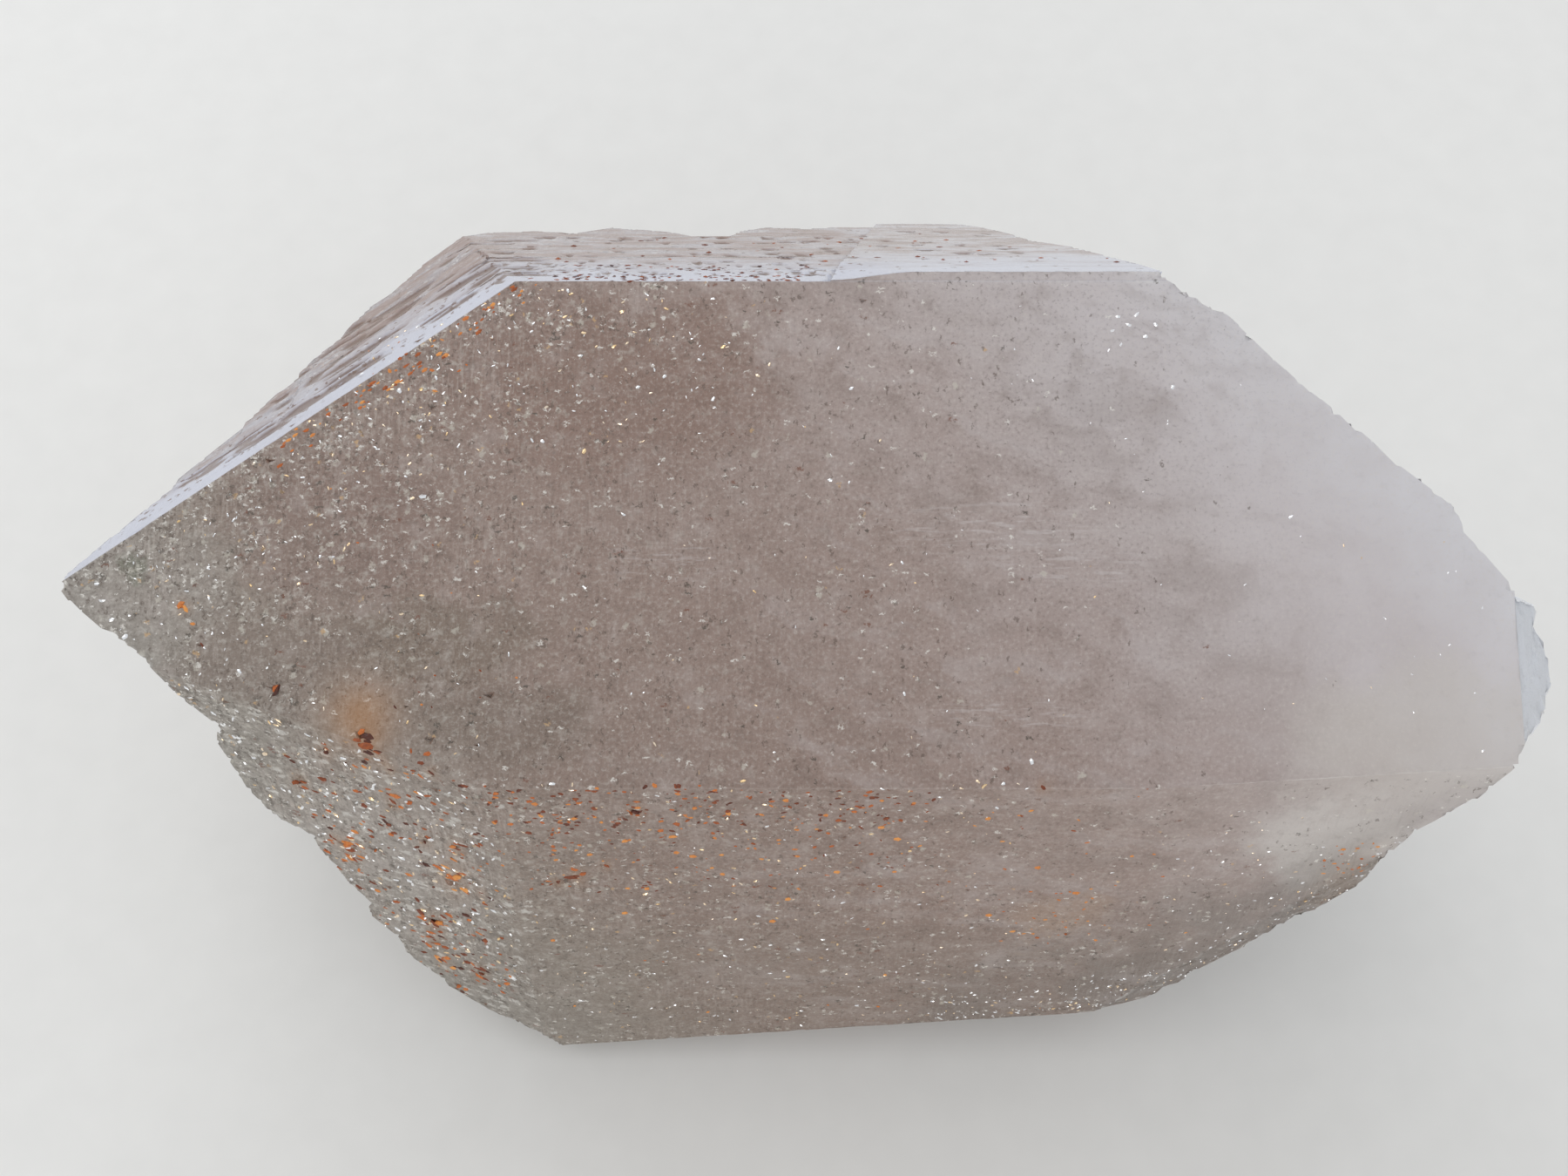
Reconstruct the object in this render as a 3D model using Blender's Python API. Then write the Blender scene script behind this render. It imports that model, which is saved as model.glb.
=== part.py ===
"""A smoky quartz crystal, 70 mm long, lying on its side with its largest prism face up.

One end is a natural point and the other is broken off. The crystal is one piece of mineral, so it is
one solid. It is worked out in the crystal's own frame, in millimetres: X runs along the crystal from
the point to the break, Y from the front to the back, and Z up from the large top face, which lies in
Z = 0. At the end the crystal is leant forward, as it rests, and scaled to metres.
"""

import math
import random

import bmesh
import bpy
from mathutils import Matrix, Vector, noise

# ---------------------------------------------------------------- driving dimensions, millimetres

LEAN = math.radians(13.6)  # the top face leans towards the front as the crystal rests
REST_DEPTH = 29.3  # from the frame's origin straight down to the surface it rests on
MAKING_BLOCK = 200.0  # side of the raw block that each convex body is cut from

# Crystal faces. Each has a polar angle between its normal and the way the point looks, an azimuth
# about the crystal's length from the top face (positive towards the back), and its distance from the
# frame's origin, all in degrees and millimetres. Six prism faces lie about 60 degrees apart, and the
# rhomb faces slope in from them to the point.
TOP_FACE = (90.0, 0.0, 0.0)
FRONT_PRISM = (90.0, -60.0, 8.12)
FRONT_PRISM_END = (92.9, -60.0, 8.95)  # the same face, tapering a little towards the break
BACK_PRISM = (90.0, 57.5, 12.74)
FRONT_RHOMB = (72.8, -60.0, 11.76)
BACK_RHOMB = (63.7, 44.2, 15.15)
LOWER_FRONT_PRISM = (96.8, -120.0, 29.15)
LOWER_BACK_PRISM = (92.1, 120.0, 28.3)
LOWER_RHOMB = (51.8, 180.0, 31.4)
LOWER_FRONT_RHOMB = (51.8, -120.0, 32.4)
LOWER_BACK_RHOMB = (51.8, 120.0, 31.3)

# Faces left by the break: a lip along the end of the top face, a bevel along the front prism face's
# end, and the slope under the end.
BREAK_LIP = (126.9, 0.0, 20.6)
BREAK_BEVEL = (107.0, -71.8, 17.95)
BREAK_UNDERSIDE = (141.0, -168.0, 32.6)

# Growth terraces at the back. Each layer ends in a low cliff that follows the top face's edge, on the
# rhomb face and on the prism face, and the next layer's faces lie a little further in. A terrace is
# (how far in its rhomb face lies, how far in its prism face lies, how far out its cliff on each, and
# the X where it starts).
RHOMB_CLIFF = (55.1, 80.2, 19.57)  # a cliff through the top edge, before it is moved out
PRISM_CLIFF = (90.0, 80.0, 14.87)
TERRACES = (
    (0.30, 0.14, 3.1, 2.4, -24.6),
    (0.62, 0.27, 4.6, 3.5, -27.4),
    (0.90, 0.44, 5.9, 4.9, -31.4),
    (1.24, 0.58, 7.6, 6.2, -29.0),
)
FIRST_CLIFFS = (1.45, 1.1)  # how far the top layer's own cliffs lie from the top edge
LAYER_DROP = 0.1  # how much lower the top of each layer lies, hidden inside the crystal
LAYER_FRONT = (2.0, 0.2)  # Y of a layer's hidden front, and how much further back each next one is
LAYER_END = (14.0, 0.7)  # X of a layer's hidden end, and how much further on each next one is

# Past this step the back prism face stands a little proud, all the way to the break.
SHOULDER_FACE = (90.0, 60.0, 13.5)
SHOULDER_START = 1.6  # X of the step where it meets the face
SHOULDER_SLANT = math.radians(20.0)  # how far the step is turned from square to the crystal's length
SHOULDER_DROP = 0.03  # how far its hidden top lies under the top face
SHOULDER_LIP = 0.1  # how far inside the break's lip its hidden end lies

# The crystal's outline in plan, from the point along the front to the break and back along the rear.
# Between them the front and back edges belong to prism faces.
POINT_TO_FRONT = (
    (-33.9, 0.1),
    (-33.8, -0.3),
    (-31.8, -2.1),
    (-29.6, -3.7),
    (-28.5, -5.0),
    (-27.0, -6.2),
    (-27.5, -6.7),
    (-26.8, -8.9),
    (-25.8, -10.3),
    (-24.0, -11.2),
    (-23.9, -11.8),
    (-22.9, -13.4),
    (-22.1, -14.4),
    (-22.4, -15.0),
    (-21.0, -16.3),
    (-20.9, -17.2),
    (-19.0, -18.7),
    (-18.6, -19.6),
    (-15.8, -20.9),
    (-14.0, -21.7),
    (-12.8, -22.5),
    (-11.6, -24.4),
)
FRONT_TO_BREAK = (
    (15.0, -23.0),
    (17.9, -20.6),
    (18.8, -20.2),
    (20.2, -19.8),
    (22.4, -18.8),
    (22.7, -18.2),
    (23.4, -17.9),
    (24.8, -17.1),
    (26.4, -15.8),
    (28.8, -14.6),
    (29.7, -13.6),
    (29.9, -12.1),
    (30.6, -11.1),
    (32.7, -9.8),
    (33.2, -9.2),
    (34.0, -8.3),
    (34.8, -7.2),
    (36.1, -5.8),
    (36.6, -4.3),
    (36.6, -3.1),
    (36.2, -2.3),
    (35.8, -1.6),
    (36.0, -0.9),
    (35.8, -0.5),
    (34.5, 0.0),
    (33.6, 1.3),
    (32.4, 2.8),
    (32.2, 3.6),
    (31.9, 4.1),
    (31.0, 4.7),
    (30.4, 5.4),
    (29.2, 6.2),
    (27.8, 7.6),
    (25.2, 9.8),
    (23.7, 11.2),
    (22.5, 12.5),
    (21.9, 13.3),
    (19.7, 14.8),
    (18.8, 15.4),
)
BREAK_TO_BACK = (
    (17.4, 17.2),
    (15.5, 19.5),
    (13.4, 20.9),
    (12.3, 22.5),
    (10.4, 23.9),
    (6.8, 24.1),
    (3.0, 24.0),
    (1.1, 23.7),
    (-0.9, 24.0),
    (-2.4, 23.3),
    (-3.6, 21.6),
    (-5.0, 22.0),
    (-6.2, 23.0),
    (-8.5, 23.6),
    (-9.7, 24.0),
    (-11.8, 22.9),
    (-14.2, 23.3),
    (-17.5, 23.0),
    (-18.1, 22.3),
    (-19.7, 21.5),
    (-21.0, 19.5),
    (-23.2, 16.3),
    (-25.2, 12.7),
    (-27.4, 9.8),
    (-30.6, 6.5),
    (-30.5, 6.0),
    (-29.6, 5.4),
    (-31.8, 3.0),
    (-32.0, 2.9),
    (-33.8, 0.9),
)
WALL_STEP = 1.7  # longest stretch of wall between two points of the outline
WALL_TOP = 3.0  # clear of the top face
WALL_LAYERS = (-2.2, -4.6, -7.2, -10.0, -13.0, -16.2, -19.6, -23.2, -27.0, -31.0, -36.0, -42.0)
WALL_UNDERCUT = 0.055  # how much the walls draw in for each millimetre down
WALL_SETBACK = 0.25  # how far in the rough part of a wall lies on average
WALL_ROUGHNESS = 0.42
WORN_WITHIN = 4.0  # below the rim, where the walls reach their full roughness
COARSE_RATE = 0.31  # turns of the roughness for each millimetre
FINE_RATE = 0.57
FINE_SHARE = 0.5  # of the coarse roughness
UNDERSIDE_ROUGHNESS = 0.84
CHIPPED_EDGE = (-3.5, 15.0, 24.1)  # middle and half length in X of the back edge's chips, its Y
CHIP_HEIGHT = 4.5  # below the rim, where a chip in the back edge has run out

# Conchoidal scoops in the broken end: the shells where the break ran through, as spheres.
SCOOPS = (
    ((44.2, -3.0, -13.5), 13.2),
    ((36.9, 11.0, -8.8), 10.0),
    ((29.1, 14.7, -5.5), 7.0),
    ((33.0, 16.1, -18.0), 12.0),
    ((25.3, 21.4, -9.7), 9.0),
    ((24.4, 23.0, -22.8), 10.0),
    ((39.8, 0.8, -18.0), 9.0),
    ((40.3, -8.7, -8.0), 8.0),
    ((35.3, -16.3, -15.8), 8.5),
    ((28.1, -20.5, -21.7), 7.0),
    ((34.1, -5.9, -20.3), 9.0),
    ((30.2, 5.0, -27.9), 10.0),
    ((27.0, -10.8, -26.4), 8.0),
    ((23.2, 9.5, -33.0), 8.0),
)

# Etch pits: three-sided wedges sunk into the faces. The bold ones stand at (x, y, length) in plan.
BOLD_PITS = (
    (-28.1, -0.9, 0.6),
    (-27.1, -2.7, 0.5),
    (-23.6, -4.7, 0.9),
    (-21.6, -7.5, 0.8),
    (-19.4, -6.9, 1.2),
    (-18.7, -8.5, 0.8),
    (-23.6, -8.7, 1.0),
    (-16.2, -9.3, 0.7),
    (-18.8, -9.9, 0.9),
    (-22.3, -11.5, 1.3),
    (-17.7, -11.5, 1.0),
    (-15.9, -11.8, 0.9),
    (-16.7, -13.5, 1.7),
    (-18.5, -15.4, 1.6),
    (-16.3, -15.2, 0.6),
    (-18.9, -17.0, 0.9),
    (-16.6, -18.2, 1.1),
    (-6.9, -10.3, 0.8),
    (-10.7, -13.4, 1.1),
    (11.9, -9.8, 0.6),
    (3.9, 14.1, 0.6),
)
# The small ones are scattered over a stretch of the crystal's length and depth: how many, the
# stretch in X, the stretch in Y and their lengths.
SCATTERED_PITS = (
    (22, (-26.5, -13.5), (-20.5, -5.0), (0.45, 1.0)),
    (12, (-12.0, 18.0), (-19.0, -10.0), (0.35, 0.7)),
    (9, (-27.0, -12.0), (6.0, 20.0), (0.5, 1.1)),
    (12, (-12.0, 12.0), (16.5, 22.5), (0.5, 1.2)),
)
PIT_SPACING = 1.7
PIT_DEPTH = 0.26  # of a pit's length
PIT_PROUD = 0.4  # of its depth, how far the cutter stands above the surface
PIT_FLOOR = 0.22  # of its length, how wide its floor is
PIT_TURN = 0.4  # the most a pit is turned, in radians
PIT_WIDTHS = (0.4, 0.75)  # of its length
PIT_SEED = 11
MOST_STEEP = 0.3  # Z of the normal of the steepest surface that takes a pit

MM = 0.001
SMOKY_GREY = (0.42, 0.35, 0.31, 1.0)
SMOKY_ROUGHNESS = 0.22


def clear_scene():
    for obj in list(bpy.data.objects):
        bpy.data.objects.remove(obj, do_unlink=True)


def face_normal(face):
    """The outward normal of a crystal face, given as (polar, azimuth, distance)."""
    polar = math.radians(face[0])
    azimuth = math.radians(face[1])
    across = math.sin(polar)
    return Vector((-math.cos(polar), across * math.sin(azimuth), across * math.cos(azimuth)))


def moved_out(face, proud):
    return (face[0], face[1], face[2] + proud)


def clip(bm, normal, distance):
    """Cuts away what lies beyond a plane and closes the cut with one face."""
    everything = bm.verts[:] + bm.edges[:] + bm.faces[:]
    cut = bmesh.ops.bisect_plane(
        bm,
        geom=everything,
        plane_co=normal * distance,
        plane_no=normal,
        clear_outer=True,
    )
    rim = [item for item in cut["geom_cut"] if isinstance(item, bmesh.types.BMEdge)]
    if rim:
        bmesh.ops.contextual_create(bm, geom=rim)


def convex_body(faces, planes=()):
    """A block cut down to crystal faces, and to plain planes given as (normal, distance)."""
    bm = bmesh.new()
    bmesh.ops.create_cube(bm, size=MAKING_BLOCK)
    for face in faces:
        clip(bm, face_normal(face), face[2])
    for normal, distance in planes:
        clip(bm, Vector(normal), distance)
    return bm


def to_object(bm, name):
    bmesh.ops.recalc_face_normals(bm, faces=bm.faces[:])
    mesh = bpy.data.meshes.new(name)
    bm.to_mesh(mesh)
    bm.free()
    obj = bpy.data.objects.new(name, mesh)
    bpy.context.scene.collection.objects.link(obj)
    return obj


def combine(body, other, operation):
    """Applies an exact Boolean to the body's mesh, and removes the other object."""
    modifier = body.modifiers.new(operation.title(), "BOOLEAN")
    modifier.operation = operation
    modifier.solver = "EXACT"
    modifier.object = other
    graph = bpy.context.evaluated_depsgraph_get()
    combined = bpy.data.meshes.new_from_object(body.evaluated_get(graph))
    body.modifiers.clear()
    body.data = combined
    bpy.data.objects.remove(other, do_unlink=True)


def grown_body():
    """Everything that grew flat: the top layer, its shoulder and the layers below it at the back."""
    rhomb_cliff, prism_cliff = FIRST_CLIFFS
    body = to_object(
        convex_body(
            (
                TOP_FACE,
                FRONT_PRISM,
                FRONT_PRISM_END,
                FRONT_RHOMB,
                BACK_PRISM,
                moved_out(PRISM_CLIFF, prism_cliff),
                BACK_RHOMB,
                moved_out(RHOMB_CLIFF, rhomb_cliff),
                BREAK_LIP,
                BREAK_BEVEL,
            )
        ),
        "crystal",
    )
    layer_front, further_back = LAYER_FRONT
    layer_end, further_on = LAYER_END
    step = Vector((-math.cos(SHOULDER_SLANT), math.sin(SHOULDER_SLANT), 0.0))
    shoulder = convex_body(
        (
            moved_out(TOP_FACE, -SHOULDER_DROP),
            SHOULDER_FACE,
            moved_out(BREAK_LIP, -SHOULDER_LIP),
        ),
        (
            ((0.0, -1.0, 0.0), -layer_front),
            (step, step.dot(Vector((SHOULDER_START, SHOULDER_FACE[2], 0.0)))),
        ),
    )
    combine(body, to_object(shoulder, "shoulder"), "UNION")
    for level, (rhomb_in, prism_in, rhomb_cliff, prism_cliff, start) in enumerate(TERRACES, 1):
        layer = convex_body(
            (
                moved_out(TOP_FACE, -LAYER_DROP * level),
                moved_out(BACK_RHOMB, -rhomb_in),
                moved_out(RHOMB_CLIFF, rhomb_cliff),
                moved_out(BACK_PRISM, -prism_in),
                moved_out(PRISM_CLIFF, prism_cliff),
            ),
            (
                ((0.0, -1.0, 0.0), -layer_front - further_back * level),
                ((-1.0, 0.0, 0.0), -start),
                ((1.0, 0.0, 0.0), layer_end + further_on * level),
            ),
        )
        combine(body, to_object(layer, "layer"), "UNION")
    return body


def refined(outline):
    """The outline with points added so that no stretch is longer than WALL_STEP."""
    points = []
    for index, start in enumerate(outline):
        start = Vector(start)
        end = Vector(outline[(index + 1) % len(outline)])
        count = max(1, math.ceil((end - start).length / WALL_STEP))
        points += [start.lerp(end, step / count) for step in range(count)]
    return points


def inward_normals(points):
    """The direction into the outline at each of its points."""
    normals = []
    for index in range(len(points)):
        along = points[(index + 1) % len(points)] - points[index - 1]
        normals.append(Vector((-along.y, along.x)).normalized())
    return normals


def scooped(point):
    """The point pushed out of every conchoidal scoop that it lies in."""
    for centre, radius in SCOOPS:
        away = point - Vector(centre)
        if away.length < radius:
            point = Vector(centre) + away.normalized() * radius
    return point


def held_back(point, rough):
    """The point moved back to the slope under the broken end, if it lies beyond that slope."""
    outward = face_normal(BREAK_UNDERSIDE)
    beyond = point.dot(outward) - BREAK_UNDERSIDE[2] - rough
    return point - outward * max(0.0, beyond)


def chip_run_out(point, below):
    """How far the wall comes back out, this far below a chip in the back prism face's far edge."""
    middle, half_length, edge_y = CHIPPED_EDGE
    near = max(0.0, 1.0 - ((point.x - middle) / half_length) ** 2)
    return near * (edge_y - point.y) * min(1.0, below / CHIP_HEIGHT) if point.y > 0.0 else 0.0


def rim_height(body, point):
    """How high the grown body's upper surface is over a point of the outline."""
    above = Vector((point.x, point.y, MAKING_BLOCK))
    hit, place, _, _ = body.ray_cast(above, Vector((0.0, 0.0, -1.0)))
    return place.z if hit else 0.0


def walls(body):
    """The crystal's outline drawn down through layers that draw in and grow rough below the rim."""
    outline = refined(POINT_TO_FRONT + FRONT_TO_BREAK + BREAK_TO_BACK)
    inward = inward_normals(outline)
    rims = [rim_height(body, point) for point in outline]
    bm = bmesh.new()
    ring = [bm.verts.new((p.x, p.y, WALL_TOP)) for p in outline]
    sheet = bm.faces.new(ring)
    for layer in WALL_LAYERS:
        extruded = bmesh.ops.extrude_discrete_faces(bm, faces=[sheet])
        sheet = extruded["faces"][0]
        for vert, point, normal, rim in zip(sheet.verts, outline, inward, rims):
            below = max(0.0, rim - layer)
            spot = Vector((point.x, point.y, layer))
            coarse = noise.noise(spot * COARSE_RATE)
            rough = coarse + FINE_SHARE * noise.noise(spot * FINE_RATE)
            worn = min(1.0, below / WORN_WITHIN)
            drawn_in = WALL_UNDERCUT * below + (WALL_SETBACK + WALL_ROUGHNESS * rough) * worn
            place = Vector((*(point + normal * drawn_in), layer))
            place.y += chip_run_out(point, below)
            place = held_back(place, UNDERSIDE_ROUGHNESS * rough)
            vert.co = place.lerp(scooped(place), worn)
    return bm


def envelope(body):
    """The walls, cut from below by the lower crystal faces, the break and the resting plane."""
    bm = walls(body)
    bmesh.ops.recalc_face_normals(bm, faces=bm.faces[:])
    for face in (
        LOWER_FRONT_PRISM,
        LOWER_BACK_PRISM,
        LOWER_RHOMB,
        LOWER_FRONT_RHOMB,
        LOWER_BACK_RHOMB,
    ):
        clip(bm, face_normal(face), face[2])
    clip(bm, Vector((0.0, -math.sin(LEAN), -math.cos(LEAN))), REST_DEPTH)
    return bm


def pit_places(chooser):
    """(x, y, length) of every pit, no two closer in plan than PIT_SPACING."""
    places = list(BOLD_PITS)
    for count, stretch_x, stretch_y, lengths in SCATTERED_PITS:
        wanted = len(places) + count
        while len(places) < wanted:
            x = chooser.uniform(*stretch_x)
            y = chooser.uniform(*stretch_y)
            length = chooser.uniform(*lengths)
            if all(math.hypot(x - place[0], y - place[1]) > PIT_SPACING for place in places):
                places.append((x, y, length))
    return places


def pits(body):
    """The pits' cutters, each sunk square to the face it lies on and long across its slope."""
    chooser = random.Random(PIT_SEED)
    bm = bmesh.new()
    for x, y, length in pit_places(chooser):
        turn = chooser.uniform(-PIT_TURN, PIT_TURN)
        width = chooser.uniform(*PIT_WIDTHS)
        above = Vector((x, y, MAKING_BLOCK))
        hit, place, outward, _ = body.ray_cast(above, Vector((0.0, 0.0, -1.0)))
        if not hit or outward.z < MOST_STEEP:
            continue
        across = Vector((1.0, 0.0, 0.0)).cross(outward).normalized()
        axes = Matrix((outward.cross(across), across, -outward)).transposed().to_4x4()
        if axes.determinant() < 0.0:
            axes = axes @ Matrix.Diagonal((-1.0, 1.0, 1.0, 1.0))
        deep = PIT_DEPTH * length
        bmesh.ops.create_cone(
            bm,
            cap_ends=True,
            segments=3,
            radius1=length / 2,
            radius2=PIT_FLOOR * length / 2,
            depth=(1.0 + PIT_PROUD) * deep,
            matrix=Matrix.Translation(place - (1.0 - PIT_PROUD) / 2 * deep * outward)
            @ axes
            @ Matrix.Diagonal((1.0, width, 1.0, 1.0))
            @ Matrix.Rotation(turn, 4, "Z"),
        )
    return bm


def smoky_quartz():
    material = bpy.data.materials.new("smoky_quartz")
    material.use_nodes = True
    shader = material.node_tree.nodes["Principled BSDF"]
    shader.inputs["Base Color"].default_value = SMOKY_GREY
    shader.inputs["Roughness"].default_value = SMOKY_ROUGHNESS
    shader.inputs["Metallic"].default_value = 0.0
    return material


def lay_down(body):
    """Leans the crystal as it rests, sets it on Z = 0 over the origin, and scales it to metres."""
    body.data.transform(Matrix.Scale(MM, 4) @ Matrix.Rotation(LEAN, 4, "X"))
    corners = [[vert.co[axis] for vert in body.data.vertices] for axis in range(3)]
    middle = [(min(values) + max(values)) / 2 for values in corners]
    body.data.transform(Matrix.Translation((-middle[0], -middle[1], -min(corners[2]))))


def main():
    clear_scene()
    body = grown_body()
    combine(body, to_object(envelope(body), "envelope"), "INTERSECT")
    combine(body, to_object(pits(body), "pits"), "DIFFERENCE")
    lay_down(body)
    body.data.materials.clear()
    body.data.materials.append(smoky_quartz())


main()
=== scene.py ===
# %% [markdown]
# # A smoky quartz crystal, from plain solid to finished look
#
# The crystal lies on its side with its largest face up: a natural point at the left, a broken end
# at the right, stepped growth layers along the back edge, and a dusting of rust in its etch pits.
# The solid that comes with the model has the right size and faces. This lesson gives it the fine
# relief, the cloudy smoky body, the rust and the glints, and then lights it and sets the camera.

# %% Load the frame
import math
import random

import bmesh
import bpy
from mathutils import Matrix, Vector, noise
from mathutils.bvhtree import BVHTree


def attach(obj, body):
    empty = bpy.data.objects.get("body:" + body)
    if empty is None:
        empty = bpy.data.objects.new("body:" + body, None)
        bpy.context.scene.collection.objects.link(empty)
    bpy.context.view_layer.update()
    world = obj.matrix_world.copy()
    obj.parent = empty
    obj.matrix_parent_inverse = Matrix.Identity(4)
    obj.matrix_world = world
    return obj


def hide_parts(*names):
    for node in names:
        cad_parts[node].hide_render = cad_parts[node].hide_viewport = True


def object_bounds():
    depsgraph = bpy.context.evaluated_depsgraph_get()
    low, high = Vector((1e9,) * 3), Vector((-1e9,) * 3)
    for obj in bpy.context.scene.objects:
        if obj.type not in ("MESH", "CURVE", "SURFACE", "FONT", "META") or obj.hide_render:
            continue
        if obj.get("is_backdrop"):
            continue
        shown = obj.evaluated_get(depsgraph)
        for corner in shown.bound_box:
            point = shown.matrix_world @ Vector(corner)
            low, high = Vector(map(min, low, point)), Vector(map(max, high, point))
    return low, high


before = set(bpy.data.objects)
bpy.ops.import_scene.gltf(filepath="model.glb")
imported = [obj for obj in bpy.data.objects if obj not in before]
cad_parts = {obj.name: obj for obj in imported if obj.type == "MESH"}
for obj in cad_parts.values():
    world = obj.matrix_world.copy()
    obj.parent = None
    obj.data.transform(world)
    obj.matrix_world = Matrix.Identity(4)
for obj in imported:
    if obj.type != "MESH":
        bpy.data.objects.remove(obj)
cad_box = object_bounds()
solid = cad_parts["crystal"]
print("the crystal's box, in metres:", [[round(v, 4) for v in corner] for corner in cad_box])

# %% [markdown]
# ## The crystal's own frame
#
# Quartz faces meet at fixed angles, so it is easiest to think along the crystal: X from the point
# to the break, Y to the back, Z up from the large top face, in millimetres. The crystal rests
# leaning a little towards the front, so one matrix turns that frame into the scene's metres, and
# its inverse turns it back. The shader uses the same turn later, through a Mapping node.

# %% The turn between the two frames
LEAN = math.radians(13.6)
PLACE = Vector((-1.2466, -5.2093, 29.3))  # the crystal frame's origin in the scene, millimetres
to_scene = Matrix.Scale(0.001, 4) @ Matrix.Translation(PLACE) @ Matrix.Rotation(LEAN, 4, "X")
to_crystal = to_scene.inverted()
top_up = (to_scene.to_3x3() @ Vector((0.0, 0.0, 1.0))).normalized()
print("the top face looks along", [round(v, 3) for v in top_up])

# %% [markdown]
# ## A working copy of the solid
#
# The relief to come is a few tenths of a millimetre across, and the solid's faces are up to 60 mm
# long, so there are no points to move yet. A voxel remesh would give even triangles but would
# round every crystal edge. Here the faces of a copy are sliced by parallel planes instead, which
# puts points all over them and leaves every crystal edge where it is.
#
# First each face is sorted by its direction, which is fixed for quartz, because each kind of
# surface gets its own relief: the top face, the front faces, the glossy growth layers at the back,
# the underside, and everything that is broken.

# %% Sort the faces
TOP, FRONT, GROWTH, BROKEN, UNDER, PIT = range(6)


def crystal_normal(polar, azimuth):
    """The outward direction of a crystal face, from its angles in degrees."""
    across, turn = math.sin(math.radians(polar)), math.radians(azimuth)
    along = -math.cos(math.radians(polar))
    return Vector((along, across * math.sin(turn), across * math.cos(turn)))


FACE_KINDS = (
    (TOP, crystal_normal(90.0, 0.0)),
    (FRONT, crystal_normal(90.0, -60.0)),
    (FRONT, crystal_normal(92.9, -60.0)),
    (FRONT, crystal_normal(72.8, -60.0)),
    (GROWTH, crystal_normal(90.0, 57.5)),
    (GROWTH, crystal_normal(90.0, 60.0)),
    (GROWTH, crystal_normal(63.7, 44.2)),
    (GROWTH, crystal_normal(55.1, 80.2)),
    (GROWTH, crystal_normal(90.0, 80.0)),
    (UNDER, crystal_normal(96.8, -120.0)),
    (UNDER, crystal_normal(92.1, 120.0)),
    (UNDER, crystal_normal(51.8, 180.0)),
    (UNDER, crystal_normal(51.8, -120.0)),
    (UNDER, crystal_normal(51.8, 120.0)),
    (UNDER, Vector((0.0, -math.sin(LEAN), -math.cos(LEAN)))),
)
SAME_FACE = 0.9995  # the cosine of about 2 degrees


def kind_of(normal):
    """The kind of a face that looks out along a normal."""
    for kind, direction in FACE_KINDS:
        if normal.dot(direction) > SAME_FACE:
            return kind
    return BROKEN


SAME_POINT, SHORTEST_EDGE = 0.002, 0.01  # millimetres
bm = bmesh.new()
bm.from_mesh(solid.data)
bmesh.ops.transform(bm, matrix=to_crystal, verts=bm.verts)
bmesh.ops.remove_doubles(bm, verts=bm.verts, dist=SAME_POINT)
bmesh.ops.dissolve_degenerate(bm, edges=bm.edges, dist=SHORTEST_EDGE)
bmesh.ops.recalc_face_normals(bm, faces=bm.faces)
kind_layer = bm.faces.layers.int.new("kind")
for face in bm.faces:
    face[kind_layer] = kind_of(face.normal)
counts = [sum(face[kind_layer] == kind for face in bm.faces) for kind in range(PIT)]
print("faces on top, in front, growth, broken, under:", counts)

# %% [markdown]
# The etch pits are small wedges sunk into the flat faces. Nothing names them in the solid, but
# each one is a little group of odd faces with a flat face all round it, so they can be found by
# walking from face to face. They are kept apart from the broken surfaces, because they have sharp
# clean sides and rust in them.

# %% Find the etch pits
LARGEST_PIT = 2.5  # square millimetres
BENT = 0.94  # the cosine of about 20 degrees: the sides of a pit turn further than this


def group_from(start, kind):
    """The faces of one kind that can be reached from a face over shared edges."""
    group = {start}
    waiting = [start]
    while waiting:
        for edge in waiting.pop().edges:
            for other in edge.link_faces:
                if other not in group and other[kind_layer] == kind:
                    group.add(other)
                    waiting.append(other)
    return group


pit_count = 0
looked_at = set()
for face in bm.faces:
    if face[kind_layer] != BROKEN or face in looked_at:
        continue
    group = group_from(face, BROKEN)
    looked_at |= group
    area = sum(f.calc_area() for f in group)
    bends = any(f.normal.dot(face.normal) < BENT for f in group)
    if area < LARGEST_PIT and bends:
        for member in group:
            member[kind_layer] = PIT
        pit_count += 1
print("found", pit_count, "etch pits")

# %% [markdown]
# ## Cut the faces into a fine lattice
#
# Each surface gets the point spacing that its relief needs: fine on the glossy growth layers,
# whose grooves are the thinnest, coarser on the large top face, and coarser still underneath.
# Parallel planes slice one kind of surface at a time. The cuts add points only where they cross a
# face, so the crystal's own edges don't move.

# %% Slice each kind of surface
X, Y, Z = Vector((1.0, 0.0, 0.0)), Vector((0.0, 1.0, 0.0)), Vector((0.0, 0.0, 1.0))
LATTICE = {  # kind: the directions to slice along, and the spacing in millimetres
    TOP: ((X, 0.45), (Y, 0.45)),
    FRONT: ((X, 0.34), (Z, 0.3)),
    GROWTH: ((X, 0.23), (Z, 0.2)),
    BROKEN: ((X, 0.75), (Y, 0.75), (Z, 0.55)),
    UNDER: ((X, 1.6), (Y, 1.6), (Z, 1.6)),
}
COARSER = 1.0
OFF_CENTRE = 0.0137  # keeps the planes off the solid's own points
ON_PLANE = 0.0005  # a point this near to a plane counts as on it


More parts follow.
